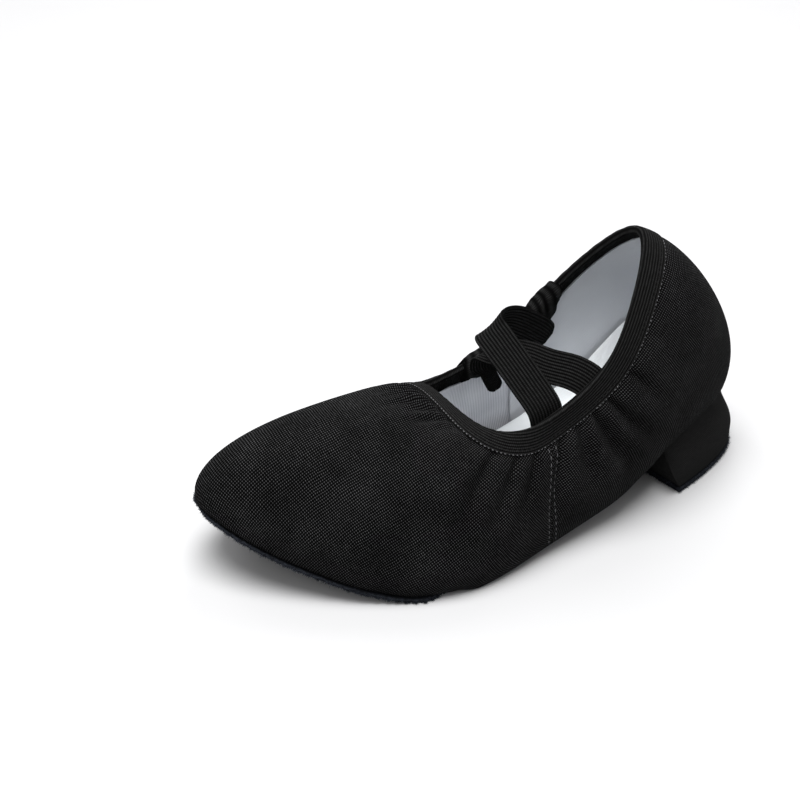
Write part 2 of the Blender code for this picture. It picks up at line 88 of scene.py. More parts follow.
UNDERSIDE_S = (0, 20, 40, 60, 85, 115, 138, 158, 174, 192, 210, 225, 241)
UNDERSIDE_Z = (32, 31, 27.5, 20.5, 11.5, 5, 1.6, 0, 0, 3.5, 10.5, 17.5, 27)
# Side seams, outer and inner, in degrees: at the feather edge and at the topline.
SEAM_FOOT, SEAM_TOP = (86, 272), (98, 263)
BINDING_WIDTH = 10.5
CANVAS, LINING = 0.8, 0.6
LINING_DEPTH, HEEL_LINING_DEPTH, HEEL_LINING_RISE = 1.3, 2.7, 1.3
# The heel lining is sewn in over the edge of the vamp lining, at these degrees.
LINING_SEAM = (90, 284)
MARGIN, HEEL_MARGIN = 12.0, 8.0
OUTSOLE, OUTSOLE_BACK, OUTSOLE_TOE = 1.8, 161.0, 240.5
OUTSOLE_OVERHANG, OUTSOLE_TAPER = 1.2, 5.0
LENGTH = 241.0
SOCK_Z, SOCK_T, SOCK_INSET, SOCK_EDGE = 5.4, 2.2, 4.6, 0.4
SOCK_BACK, SOCK_TOE = 8, LENGTH - 8
# How far the sock turns up the walls at its edge, along its length.
CURL_S, CURL_UP = (8, 20, 30, 39, 50, 59, 75, 89, 110), (9, 15, 21, 22.5, 15, 9.5, 5.5, 2.5, 0)
CURL_WIDTH, CURL_LEAN = 5, 0.11
HEEL_BREAST_TOP, HEEL_BREAST_FOOT, HEEL_FLARE = 54.0, 40.0, 4.9
HEEL_WAIST, SEAT_SPREAD, BREAST_BULGE = 6.2, 0.8, 4.0
TOP_LIFT, HEEL_COVER, GAP, SEAT_GAP = 3.0, 0.8, 0.3, 0.4
# The top lift's edge, from the floor up: height, and how far it is set in.
TOP_LIFT_EDGE = ((0.0, 0.5), (0.25, 0.1), (0.8, -0.1), (1.5, -0.15), (2.3, -0.1), (2.75, 0.1), (3.0, 0.4))
STRAP_WIDTH, STRAP_THICK, STRAP_RIBS = 14.5, 1.3, 11
# Stations along the middle of each strap, with the way across it at each.
STRAP_OVER = (
    ((25.5, 108, 50), (0, 1, -0.3)), ((24, 109.5, 58.5), (0, 1, -0.3)), ((16, 112.5, 66), (0, 1, -0.35)),
    ((8, 115, 72), (0, 1, -0.4)), ((0, 117, 77), (0, 1, -0.55)), ((-7, 117, 79.5), (0, 1, -0.75)),
    ((-11.5, 111.5, 79), (0, 1, -0.9)), ((-15.5, 102, 75.3), (0, 1, -1)), ((-19.5, 90.5, 67), (0, 1, -1)),
    ((-21.5, 80.5, 58.5), (0, 1, -1)),
)
STRAP_UNDER = (
    ((23.5, 86, 54), (0, 1, -0.8)), ((22.5, 86.5, 61.5), (0, 1, -0.8)), ((16, 91, 64.8), (0, 1, -0.75)),
    ((7, 98, 65.2), (0, 1, -0.7)), ((-2, 103, 65.5), (0, 1, -0.65)), ((-12, 108.5, 63.8), (0, 1, -0.6)),
    ((-19.5, 111, 60.5), (0, 1, -0.4)), ((-22, 109.5, 51), (0, 1, -0.3)),
    ((-21.5, 104.5, 39.5), (0, 1, -0.3)),
)

random = np.random.default_rng(7)


# ---- curves through stations
def ring_curve(values):
    """A smooth closed curve through evenly spaced values, read at an angle in degrees."""
    y = np.array(values, float)
    n = len(y)
    matrix = 4 * np.eye(n) + np.roll(np.eye(n), 1, 0) + np.roll(np.eye(n), -1, 0)
    bend = np.linalg.solve(matrix, 6 * (np.roll(y, -1) - 2 * y + np.roll(y, 1)))

    def at(angle):
        t = np.mod(np.asarray(angle, float) / 360 * n, n)
        i = np.floor(t).astype(int) % n
        j = (i + 1) % n
        f = t - np.floor(t)
        g = 1 - f
        return g * y[i] + f * y[j] + (g**3 - g) * bend[i] / 6 + (f**3 - f) * bend[j] / 6

    return at


def monotone_curve(xs, ys):
    """A smooth curve through points that never overshoots between them."""
    xs, ys = np.array(xs, float), np.array(ys, float)
    step = np.diff(xs)
    slope = np.diff(ys) / step
    tangent = np.zeros(len(xs))
    for i in range(1, len(xs) - 1):
        if slope[i - 1] * slope[i] > 0:
            w1, w2 = 2 * step[i] + step[i - 1], step[i] + 2 * step[i - 1]
            tangent[i] = (w1 + w2) / (w1 / slope[i - 1] + w2 / slope[i])
    tangent[0], tangent[-1] = slope[0], slope[-1]

    def at(x):
        x = np.clip(np.asarray(x, float), xs[0], xs[-1])
        i = np.clip(np.searchsorted(xs, x, side="right") - 1, 0, len(xs) - 2)
        h = step[i]
        f = (x - xs[i]) / h
        return (
            (1 + 2 * f) * (1 - f) ** 2 * ys[i]
            + f * (1 - f) ** 2 * h * tangent[i]
            + f * f * (3 - 2 * f) * ys[i + 1]
            + f * f * (f - 1) * h * tangent[i + 1]
        )

    return at


def smooth_step(x, low, high):
    f = np.clip((np.asarray(x, float) - low) / (high - low), 0, 1)
    return f * f * (3 - 2 * f)


def distance_along(line):
    """The distance of each point of a line from its first point."""
    return np.concatenate([[0], np.linalg.norm(np.diff(line, axis=0), axis=1).cumsum()])


feather_x, feather_s = ring_curve(FEATHER_X), ring_curve(FEATHER_S)
topline_x, topline_s, topline_z = map(ring_curve, (TOPLINE_X, TOPLINE_S, TOPLINE_Z))
low_out, low_up, top_out, top_down = map(ring_curve, (LOW_OUT, LOW_UP, TOP_OUT, TOP_DOWN))
underside = monotone_curve(UNDERSIDE_S, UNDERSIDE_Z)


def canvas_lift(s):
    """The canvas lies on the outsole at the forefoot, and is itself the underside at the waist."""
    return (OUTSOLE + 2 * GAP) * smooth_step(s, OUTSOLE_BACK - 12, OUTSOLE_BACK - 1)


def outward(fx, fs, angle):
    """The level way out of the outline given by two curves."""
    dx = fx(angle + 0.5) - fx(angle - 0.5)
    ds = fs(angle + 0.5) - fs(angle - 0.5)
    normal = np.stack([ds, -dx, np.zeros_like(dx)], -1)
    return normal / np.linalg.norm(normal, axis=-1, keepdims=True)


# ---- the wall, as a table to read points from
TABLE_STEP, TABLE_ROWS, CURVE_POINTS = 0.5, 161, 241


def wall_table():
    """The smooth canvas face by angle and share of its length: points, normals, mm per degree, length."""
    angle = np.arange(0, 360, TABLE_STEP)
    up = np.array([0, 0, 1.0])
    s = feather_s(angle)
    foot = np.stack([feather_x(angle), s, underside(s) + canvas_lift(s)], -1)
    top = np.stack([topline_x(angle), topline_s(angle), topline_z(angle)], -1)
    c1 = foot + outward(feather_x, feather_s, angle) * low_out(angle)[:, None]
    c1 = c1 + up * low_up(angle)[:, None]
    c2 = top + outward(topline_x, topline_s, angle) * top_out(angle)[:, None]
    c2 = c2 - up * top_down(angle)[:, None]
    h = np.linspace(0, 1, CURVE_POINTS)[None, :, None]
    foot, c1, c2, top = (p[:, None, :] for p in (foot, c1, c2, top))
    g = 1 - h
    lines = g**3 * foot + 3 * h * g**2 * c1 + 3 * h * h * g * c2 + h**3 * top
    steps = np.linalg.norm(np.diff(lines, axis=1), axis=2)
    arc = np.concatenate([np.zeros((len(lines), 1)), steps.cumsum(1)], 1)
    share = np.linspace(0, 1, TABLE_ROWS)
    even = np.empty((len(lines), TABLE_ROWS, 3))
    for i, (line, along) in enumerate(zip(lines, arc)):
        for k in range(3):
            even[i, :, k] = np.interp(share * along[-1], along, line[:, k])
    across = np.roll(even, -1, 0) - np.roll(even, 1, 0)
    upward = np.gradient(even, axis=1)
    normal = np.cross(across, upward)
    normal /= np.linalg.norm(normal, axis=-1, keepdims=True)
    speed = np.linalg.norm(across, axis=-1, keepdims=True) / (2 * TABLE_STEP)
    return even, normal, speed, arc[:, -1]


WALL, WALL_NORMAL, WALL_SPEED, WALL_LENGTH = wall_table()


def read_table(table, angle, share):
    """Bilinear reading of a wall table. The angle wraps round."""
    a = np.mod(angle, 360) / TABLE_STEP
    r = np.clip(share, 0, 1) * (TABLE_ROWS - 1)
    i, j = np.floor(a).astype(int) % len(table), np.minimum(np.floor(r).astype(int), TABLE_ROWS - 2)
    f, g = (a - np.floor(a))[..., None], (r - j)[..., None]
    k = (i + 1) % len(table)
    return (
        (1 - f) * ((1 - g) * table[i, j] + g * table[i, j + 1])
        + f * ((1 - g) * table[k, j] + g * table[k, j + 1])
    )


def wall_height(angle):
    """The length of the wall from the feather edge to the topline."""
    round_trip = np.append(WALL_LENGTH, WALL_LENGTH[0])
    return np.interp(np.mod(angle, 360), np.arange(0, 360.1, TABLE_STEP), round_trip)


def wall_layer(angle, share, depth):
    """Points at a depth under the smooth canvas face."""
    angle, share, depth = np.broadcast_arrays(*(np.asarray(v, float) for v in (angle, share, depth)))
    normal = read_table(WALL_NORMAL, angle, share)
    normal = normal / np.linalg.norm(normal, axis=-1, keepdims=True)
    return read_table(WALL, angle, share) - depth[..., None] * normal


def arc_layer(angle, arc, depth):
    """Points at a distance down the wall from the topline. A negative distance is above it."""
    angle, arc, depth = np.broadcast_arrays(*(np.asarray(v, float) for v in (angle, arc, depth)))
    place = wall_layer(angle, 1 - np.maximum(arc, 0) / wall_height(angle), depth)
    place[..., 2] += np.maximum(-arc, 0)
    return place


# How far the gathered canvas puffs out below the binding: angle round the slipper, and mm.
PUFF = (
    (0, 0.9), (34, 1.1), (42, 2.2), (50, 4.0), (60, 5.0), (72, 4.8), (84, 4.0), (96, 3.0),
    (110, 3.0), (122, 3.2), (134, 2.8), (146, 1.6), (156, 2.6), (168, 3.8), (182, 3.4), (200, 2.2),
    (225, 1.6), (250, 2.4), (280, 3.0), (300, 2.8), (318, 1.2), (360, 0.9),
)
# The creases between the puffs: angle, depth as a share, length in mm, lean in degrees per mm.
CREASES = (
    (50, 0.9, 26, -0.15), (63, 1.0, 60, -0.30), (71, 0.95, 46, -0.26), (79, 0.8, 36, -0.12),
    (89, 1.0, 38, 0.0), (107, 0.8, 34, -0.08), (119, 1.0, 54, -0.13), (132, 1.0, 80, -0.22),
    (143, 0.4, 16, 0.0), (153, 0.7, 16, 0.22), (159, 0.95, 24, 0.26), (166, 0.9, 22, 0.14),
    (173, 1.0, 34, 0.10), (180, 0.8, 28, 0.04), (187, 0.9, 32, 0.0), (195, 0.8, 24, -0.02),
    (205, 0.95, 30, -0.04), (218, 0.9, 26, -0.04), (231, 0.8, 26, 0.0), (243, 0.95, 34, 0.0),
    (253, 0.9, 32, 0.0), (262, 1.0, 44, 0.1), (271, 0.8, 34, 0.0), (279, 1.0, 46, 0.1),
    (288, 0.95, 42, 0.15), (296, 0.9, 38, 0.2), (305, 0.8, 30, 0.1),
)


def gather(angle, arc):
    """How far the gathered canvas stands out of the smooth wall, in mm."""
    angle, arc = np.broadcast_arrays(np.asarray(angle, float), np.asarray(arc, float))
    place = np.mod(angle, 360)
    puff = np.interp(place, *zip(*PUFF))
    envelope = puff * smooth_step(arc, BINDING_WIDTH - 2.5, BINDING_WIDTH + 6)
    # The puffs stay full down to settle, and from there die out over fade.
    settle = 16 + 14 * np.exp(-(((place - 60) / 16) ** 2))
    fade = 30 - 15 * np.exp(-(((place - 180) / 32) ** 2))
    envelope = envelope * np.exp(-((np.maximum(arc - settle, 0) / fade) ** 2))
    speed = read_table(WALL_SPEED, angle, 1 - np.maximum(arc, 0) / wall_height(angle))[..., 0]
    cut = np.zeros(angle.shape)
    for middle, depth, length, lean in CREASES:
        away = np.mod(angle - middle - lean * (arc - BINDING_WIDTH) + 180, 360) - 180
        width = 1.7 + 0.10 * np.maximum(arc - BINDING_WIDTH, 0)
        groove = np.exp(-((away * speed / width) ** 2))
        cut = np.maximum(cut, depth * groove * np.exp(-((arc / (1.15 * length)) ** 4)))
    return envelope * (1 - 1.12 * cut)


# ---- the underside of the upper
def side_x(s, sign):
    """Half outline of the feather edge at distance s: sign +1 for the outer side, -1 for the inner."""
    angles = np.linspace(0, 180, 361) if sign > 0 else np.linspace(360, 180, 361)
    return np.interp(s, feather_s(angles), feather_x(angles))


def middle_x(s):
    return (side_x(s, 1) + side_x(s, -1)) / 2


def margin_point(angle, share):
    """The canvas turned under, from the feather edge (share 0) inwards. It closes under the waist."""
    s = feather_s(angle)
    goal_s = np.clip(s, 26, 208)
    goal = np.stack([middle_x(goal_s), goal_s], -1)
    edge = np.stack([feather_x(angle), s], -1)
    run = np.linalg.norm(goal - edge, axis=-1)
    closed = smooth_step(s, 42, 56) * (1 - smooth_step(s, OUTSOLE_BACK, OUTSOLE_BACK + 14))
    turned = HEEL_MARGIN + (MARGIN - HEEL_MARGIN) * smooth_step(s, 40, 60)
    reach = turned + (run - 0.6 - turned) * closed
    plan = edge + (goal - edge) * (share * reach / run)[..., None]
    height = underside(plan[..., 1]) + canvas_lift(plan[..., 1])
    return np.concatenate([plan, height[..., None]], -1)


# ---- making meshes
def to_world(points):
    p = np.asarray(points, float)
    return np.stack([p[..., 0] - ORIGIN_X, ORIGIN_S - p[..., 1], p[..., 2]], -1) / 1000


def make_piece(name, points, faces, look, uv=None, sharp=None):
    """A mesh piece from points in mm. uv holds the cloth coordinates of each point, in mm."""
    mesh = bpy.data.meshes.new(name)
    mesh.from_pydata([tuple(p) for p in to_world(points).reshape(-1, 3)], [], faces)
    if uv is not None:
        layer = mesh.uv_layers.new(name="cloth")
        corners = np.empty(len(mesh.loops), int)
        mesh.loops.foreach_get("vertex_index", corners)
        corner_uv = np.asarray(uv, float).reshape(-1, 2)[corners]
        layer.data.foreach_set("uv", corner_uv.astype(np.float32).ravel())
    shape = bmesh.new()
    shape.from_mesh(mesh)
    bmesh.ops.recalc_face_normals(shape, faces=shape.faces)
    shape.to_mesh(mesh)
    shape.free()
    mesh.materials.append(look)
    mesh.shade_smooth()
    if sharp:
        mesh.set_sharp_from_angle(angle=math.radians(sharp))
    made = bpy.data.objects.new(name, mesh)
    bpy.context.scene.collection.objects.link(made)
    return made


def grid_faces(columns, rows, offset=0, around=False, flip=False):
    faces = []
    for i in range(columns if around else columns - 1):
        a, b = offset + i * rows, offset + (i + 1) % columns * rows
        for k in range(rows - 1):
            face = (a + k, b + k, b + k + 1, a + k + 1)
            faces.append(face[::-1] if flip else face)
    return faces


def shell(name, outer, inner, look, uv=None, around=False, sharp=60):
    """A closed sheet between two grids of points."""
    columns, rows = outer.shape[:2]
    n = columns * rows
    faces = grid_faces(columns, rows, 0, around) + grid_faces(columns, rows, n, around, True)
    rims = [[i * rows for i in range(columns)], [i * rows + rows - 1 for i in range(columns)]]
    if around:
        rims = [rim + rim[:1] for rim in rims]
    else:
        rims += [list(range(rows)), list(range(n - rows, n))]
    for rim in rims:
        faces += [(a, b, n + b, n + a) for a, b in zip(rim, rim[1:])]
    points = np.concatenate([outer.reshape(-1, 3), inner.reshape(-1, 3)])
    if uv is not None:
        uv = np.concatenate([uv.reshape(-1, 2)] * 2)
    return make_piece(name, points, faces, look, uv, sharp)


def loft(name, rings, look, uv=None, joined=False, sharp=60):
    """Closed rings of equal length skinned one after the other, with flat caps or joined end to end."""
    count, around = len(rings), len(rings[0])
    faces = []
    for i in range(count if joined else count - 1):
        a, b = i * around, (i + 1) % count * around
        faces += [(a + k, b + k, b + (k + 1) % around, a + (k + 1) % around) for k in range(around)]
    if not joined:
        faces.append(tuple(range(around)))
        faces.append(tuple(range((count - 1) * around, count * around))[::-1])
    return make_piece(name, np.array(rings), faces, look, uv, sharp)


FLAT_COLUMNS, FLAT_ROWS = 41, 17


def flattened(grid):
    """Cloth coordinates in mm of a grid of points: the sheet laid flat with as little stretch as possible.

    The second coordinate runs up the middle column. A coarse copy is laid flat, and the other points are
    placed between its own.
    """
    every_column, every_row = np.arange(grid.shape[0]), np.arange(grid.shape[1])
    some_columns = np.unique(np.linspace(0, every_column[-1], FLAT_COLUMNS).round().astype(int))
    some_rows = np.unique(np.linspace(0, every_row[-1], FLAT_ROWS).round().astype(int))
    grid = grid[np.ix_(some_columns, some_rows)]
    columns, rows = grid.shape[:2]
    mesh = bpy.data.meshes.new("flattening")
    mesh.from_pydata([tuple(p) for p in grid.reshape(-1, 3)], [], grid_faces(columns, rows))
    helper = bpy.data.objects.new("flattening", mesh)
    bpy.context.scene.collection.objects.link(helper)
    bpy.ops.object.select_all(action="DESELECT")
    helper.select_set(True)
    bpy.context.view_layer.objects.active = helper
    bpy.ops.object.mode_set(mode="EDIT")
    bpy.ops.mesh.select_all(action="SELECT")
    bpy.ops.uv.unwrap(method="MINIMUM_STRETCH", margin=0.0, iterations=40)
    bpy.ops.object.mode_set(mode="OBJECT")
    corners = np.empty(len(mesh.loops), int)
    mesh.loops.foreach_get("vertex_index", corners)
    flat = np.empty(len(mesh.loops) * 2)
    mesh.uv_layers.active.data.foreach_get("uv", flat)
    uv = np.empty((columns * rows, 2))
    uv[corners] = flat.reshape(-1, 2)
    uv = uv.reshape(columns, rows, 2)
    bpy.data.objects.remove(helper, do_unlink=True)
    real = np.linalg.norm(np.diff(grid, axis=1), axis=-1)
    drawn = np.linalg.norm(np.diff(uv, axis=1), axis=-1)
    uv *= np.median(real) / np.median(drawn)
    middle = columns // 2
    up = uv[middle, -1] - uv[middle, 0]
    turn = math.atan2(up[0], up[1])
    c, s = math.cos(turn), math.sin(turn)
    uv = np.stack([c * uv[..., 0] - s * uv[..., 1], s * uv[..., 0] + c * uv[..., 1]], -1)
    tall = np.stack([[np.interp(every_row, some_rows, line[:, k]) for line in uv] for k in range(2)], -1)
    full = np.stack([[np.interp(every_column, some_columns, line) for line in side.T]
                     for side in (tall[..., 0], tall[..., 1])], -1)
    return full.transpose(1, 0, 2)


# ---- materials
def new_material(name, rough, sheen=0.0, metallic=0.0, specular=0.5):
    made = bpy.data.materials.new(name)
    made.use_nodes = True
    shader = made.node_tree.nodes["Principled BSDF"]
    shader.inputs["Roughness"].default_value = rough
    shader.inputs["Metallic"].default_value = metallic
    shader.inputs["Sheen Weight"].default_value = sheen
    shader.inputs["Sheen Roughness"].default_value = 0.5
    shader.inputs["Specular IOR Level"].default_value = specular
    return made, made.node_tree, shader


def calc(tree, operation, a, b=0.0, clamp=False):
    """The output of a math node on numbers or sockets."""
    node = tree.nodes.new("ShaderNodeMath")
    node.operation = operation
    node.use_clamp = clamp
    for socket, value in zip(node.inputs, (a, b)):
        if isinstance(value, (int, float)):
            socket.default_value = value
        else:
            tree.links.new(value, socket)
    return node.outputs[0]


def cloth_axes(tree):
    """The two cloth coordinates of the surface, in mm."""
    place = tree.nodes.new("ShaderNodeUVMap")
    place.uv_map = "cloth"
    split = tree.nodes.new("ShaderNodeSeparateXYZ")
    tree.links.new(place.outputs[0], split.inputs[0])
    return split.outputs[0], split.outputs[1], place.outputs[0]


def noise(tree, vector, scale, detail, stretch=None):
    if stretch:
        mapping = tree.nodes.new("ShaderNodeMapping")
        mapping.inputs["Scale"].default_value = stretch
        tree.links.new(vector, mapping.inputs["Vector"])
        vector = mapping.outputs[0]
    node = tree.nodes.new("ShaderNodeTexNoise")
    node.inputs["Scale"].default_value = scale
    node.inputs["Detail"].default_value = detail
    tree.links.new(vector, node.inputs["Vector"])
    return node.outputs["Fac"]


def wave(tree, coordinate, pitch):
    """A sine that repeats every pitch."""
    return calc(tree, "SINE", calc(tree, "MULTIPLY", coordinate, 2 * math.pi / pitch))


def between(tree, amount, dark, light):
    """A colour between two, by an amount from 0 to 1."""
    mix = tree.nodes.new("ShaderNodeMix")
    mix.data_type = "RGBA"
    mix.inputs["A"].default_value = (*dark, 1)
    mix.inputs["B"].default_value = (*light, 1)
    tree.links.new(amount, mix.inputs["Factor"])
    return mix.outputs["Result"]


def add_bump(tree, shader, height, distance, strength):
    bump = tree.nodes.new("ShaderNodeBump")
    bump.inputs["Strength"].default_value = strength
    bump.inputs["Distance"].default_value = distance
    tree.links.new(height, bump.inputs["Height"])
    tree.links.new(bump.outputs[0], shader.inputs["Normal"])


# Distance between yarns, mm, and how strongly the painted highlight on the raised yarns stands out from the
# painted shade in the gaps.
WEAVE_PITCH, FINE_PITCH, WEAVE_SHADE_CONTRAST = 0.66, 0.42, 3.8


def canvas_material(name, dark, light, pitch):
    """Plain-weave cotton laid on the bias: over-and-under cells, uneven yarns and a little wear. The raised
    yarns are painted lighter and the gaps darker: painted highlight and painted shade.
    """
    made, tree, shader = new_material(name, 0.95, specular=0.03)
    u, v, place = cloth_axes(tree)
    drift = noise(tree, place, 0.12, 2)
    drift = calc(tree, "MULTIPLY", calc(tree, "SUBTRACT", drift, 0.5), 1.1)
    u, v = calc(tree, "ADD", u, drift), calc(tree, "ADD", v, drift)
    bias = math.sqrt(0.5)
    u, v = (calc(tree, "MULTIPLY", calc(tree, way, u, v), bias) for way in ("ADD", "SUBTRACT"))
    cell = calc(tree, "MULTIPLY", wave(tree, u, 2 * pitch), wave(tree, v, 2 * pitch))
    rows = calc(tree, "ABSOLUTE", wave(tree, v, 2 * pitch))
    slubs = noise(tree, place, 1.0, 3, (0.35, 2.2, 1))
    height = calc(tree, "ADD", calc(tree, "MULTIPLY", cell, 0.42), calc(tree, "MULTIPLY", rows, 0.30))
    height = calc(tree, "ADD", height, calc(tree, "MULTIPLY", slubs, 0.5))
    wide = noise(tree, place, 0.05, 3)
    # Painted highlight and shade: the colour follows the yarn height, lighter on the raised yarns and
    # darker in the gaps.
    shade = calc(tree, "ADD", height, calc(tree, "MULTIPLY", calc(tree, "SUBTRACT", wide, 0.5), 0.3))
    shade = calc(tree, "POWER", calc(tree, "MULTIPLY", shade, 1.0, True), WEAVE_SHADE_CONTRAST)
    tree.links.new(between(tree, shade, dark, light), shader.inputs["Base Color"])
    add_bump(tree, shader, height, 0.0006, 0.9)
    return made


def elastic_material(name, dark, light):
    """Woven elastic: cords along it, crossed by fine threads. The second coordinate counts the cords. The
    cords are painted lighter than the grooves between them, a painted shade, and the cross threads add
    painted glints.
    """
    made, tree, shader = new_material(name, 0.85, specular=0.05)
    u, v, place = cloth_axes(tree)
    rib = calc(tree, "ABSOLUTE", wave(tree, v, 2.0))
    threads = calc(tree, "ADD", calc(tree, "MULTIPLY", wave(tree, u, 0.75), 0.5), 0.5)
    wear = noise(tree, place, 0.8, 3)
    # Painted shade and glint: light on the cords, dark in the grooves, lighter again along the cross
    # threads.
    shade = calc(tree, "MULTIPLY", calc(tree, "POWER", rib, 2.4), calc(tree, "ADD", threads, 0.35))
    shade = calc(tree, "MULTIPLY", shade, calc(tree, "MULTIPLY", wear, 1.5), True)
    tree.links.new(between(tree, shade, dark, light), shader.inputs["Base Color"])
    height = calc(tree, "ADD", threads, calc(tree, "MULTIPLY", wear, 0.6))
    add_bump(tree, shader, height, 0.00012, 0.7)
    return made


def lining_material(name, dark, light, twill):
    """White lining: a smooth tricot, or a twill with fine slanting ribs."""
    made, tree, shader = new_material(name, 0.8, sheen=0.1, specular=0.3)
    u, v, place = cloth_axes(tree)
    grain = noise(tree, place, 2.5, 2)
    soft = noise(tree, place, 0.06, 2)
    if twill:
        slant = calc(tree, "ADD", u, calc(tree, "MULTIPLY", v, 0.8))
        rib = calc(tree, "ADD", calc(tree, "MULTIPLY", wave(tree, slant, 1.0), 0.5), 0.5)
        height = calc(tree, "ADD", rib, calc(tree, "MULTIPLY", grain, 0.4))
    else:
        height = calc(tree, "ADD", calc(tree, "MULTIPLY", wave(tree, u, 0.6), 0.15), grain)
    shade = calc(tree, "ADD", calc(tree, "MULTIPLY", height, 0.45), calc(tree, "MULTIPLY", soft, 0.5), True)
    tree.links.new(between(tree, shade, dark, light), shader.inputs["Base Color"])
    add_bump(tree, shader, height, 0.0002, 0.5)
    return made


def rough_material(name, dark, light, scale, bump, rough=0.95, metallic=0.0):
    """Suede, board, plastic or metal: two shades mottled by noise through the solid."""
    specular = 0.5 if metallic else 0.06
    made, tree, shader = new_material(name, rough, metallic=metallic, specular=specular)
    place = tree.nodes.new("ShaderNodeTexCoord").outputs["Object"]
    fine, wide = noise(tree, place, scale, 5), noise(tree, place, scale / 12, 2)
    shade = calc(tree, "ADD", calc(tree, "MULTIPLY", fine, 0.7), calc(tree, "MULTIPLY", wide, 0.5))
    shade = calc(tree, "MULTIPLY", calc(tree, "SUBTRACT", shade, 0.3), 1.7, True)
    tree.links.new(between(tree, shade, dark, light), shader.inputs["Base Color"])
    if bump:
        add_bump(tree, shader, fine, bump, 0.8)
    return made


# Each look runs from a dark colour to a light one.
canvas_look = canvas_material("black_canvas", (0.0001, 0.0001, 0.0001), (0.078, 0.078, 0.080), WEAVE_PITCH)
heel_look = canvas_material("heel_black_canvas", (0.009, 0.009, 0.009), (0.030, 0.030, 0.030), FINE_PITCH)
elastic_look = elastic_material("black_elastic", (0.0001, 0.0001, 0.0001), (0.019, 0.019, 0.019))
# The heel lining's grey-white and the twill's white are set darker still: painted shade for the dim inside
# of the slipper.
heel_lining_look = lining_material("grey_white_lining", (0.54, 0.56, 0.60), (0.66, 0.68, 0.71), False)
twill_look = lining_material("white_twill", (0.24, 0.25, 0.30), (0.94, 0.95, 0.99), True)
sock_look = lining_material("white_sock", (0.80, 0.83, 0.85), (0.90, 0.92, 0.93), False)
suede_look = rough_material("dark_suede", (0.001, 0.0011, 0.0014), (0.012, 0.0135, 0.017), 900, 0.0006)
fuzz_look = rough_material("suede_fuzz", (0.005, 0.0056, 0.007), (0.055, 0.062, 0.078), 700, 0.0)
board_look = rough_material("fibre_board", (0.22, 0.16, 0.10), (0.42, 0.33, 0.22), 500, 0.0003)
steel_look = rough_material("spring_steel", (0.35, 0.35, 0.36), (0.62, 0.62, 0.64), 300, 0.0001, 0.35, 1.0)
core_look = rough_material("heel_core", (0.02, 0.02, 0.021), (0.06, 0.06, 0.062), 250, 0.0002, 0.55)
pale_thread = rough_material("pale_thread", (0.04, 0.04, 0.042), (0.25, 0.25, 0.26), 900, 0.0001, 0.7)
grey_thread = rough_material("grey_thread", (0.012, 0.012, 0.013), (0.16, 0.16, 0.165), 700, 0.0001, 0.8)
dark_thread = rough_material("black_thread", (0.001, 0.001, 0.001), (0.02, 0.02, 0.02), 900, 0.0001, 0.7)

CAD_LOOKS = (
    (board_look, ("heel_counter", "shank_board", "forefoot_board", "bottom_filler")),
    (core_look, ("heel_block",)),
    (steel_look, ("steel_shank", "heel_screw", "shank_rivet_1", "shank_rivet_2",
                  "heel_nail_1", "heel_nail_2", "heel_nail_3", "heel_nail_4")),
)
for cad_look, node_names in CAD_LOOKS:
    for node_name in node_names:
        for material_slot in nodes[node_name].material_slots:
            material_slot.link = "OBJECT"
            material_slot.material = cad_look


# ---- putting pieces on the frame
def bends(piece, slot, *replaced):
    """A piece for the parts that bend with the arch: its transform is baked into its mesh, and it stands
    for the CAD nodes named.
    """
    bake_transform(piece)
    if replaced:
        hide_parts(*replaced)
    return piece


def rides(piece, body, slot, *replaced):
    """The piece is rigid with one body, and stands for the CAD nodes named."""
    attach(piece, body)
    if replaced:
        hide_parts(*replaced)
    return piece


# ---- the upper
def outer_seam(share):
    return SEAM_FOOT[0] + (SEAM_TOP[0] - SEAM_FOOT[0]) * share


def inner_seam(share):
    return SEAM_FOOT[1] + (SEAM_TOP[1] - SEAM_FOOT[1]) * share


def half_gap(share):
    """Half the gap between two panels at a seam, in degrees."""
    return 0.06 + 0.12 * share


# The canvas stops this far below the topline, between the leaves of the binding.
CANVAS_STOP = 2.0


def canvas_panel(name, start, end, columns, node):
    """A canvas panel between two edges, gathered under the binding and turned under at the sole."""
    share = np.linspace(0, 1, 52)[None, :]
    u = np.linspace(0, 1, columns)[:, None]
    angle = start(share) + (end(share) - start(share)) * u
    length = wall_height(angle)
    share = share * (1 - CANVAS_STOP / length)
    stand = gather(angle, (1 - share) * length)
    outer, inner = wall_layer(angle, share, -stand), wall_layer(angle, share, CANVAS - stand)
    turned = np.linspace(1, 0, 9)[:-1][None, :]
    foot_angle = (start(0.0) + (end(0.0) - start(0.0)) * u) + 0 * turned
    under = margin_point(foot_angle, turned + 0 * u)
    above = under + np.array([0, 0, CANVAS])
    outer, inner = np.concatenate([under, outer], 1), np.concatenate([above, inner], 1)
    inner[:, turned.shape[1], 2] += CANVAS * 0.7
    return bends(shell(name, outer, inner, canvas_look, flattened(outer)), "canvas", node)


vamp = canvas_panel("canvas_vamp", lambda h: outer_seam(h) + half_gap(h),
                    lambda h: inner_seam(h) - half_gap(h), 260, "vamp")
quarter_outer = canvas_panel("canvas_quarter_outer", lambda h: 0.1 + 0 * h,
                             lambda h: outer_seam(h) - half_gap(h), 130, "quarter_lateral")
quarter_inner = canvas_panel("canvas_quarter_inner", lambda h: inner_seam(h) + half_gap(h),
                             lambda h: 359.9 + 0 * h, 130, "quarter_medial")

# The linings start at this share of the way up the wall.
LINING_FOOT = 0.06


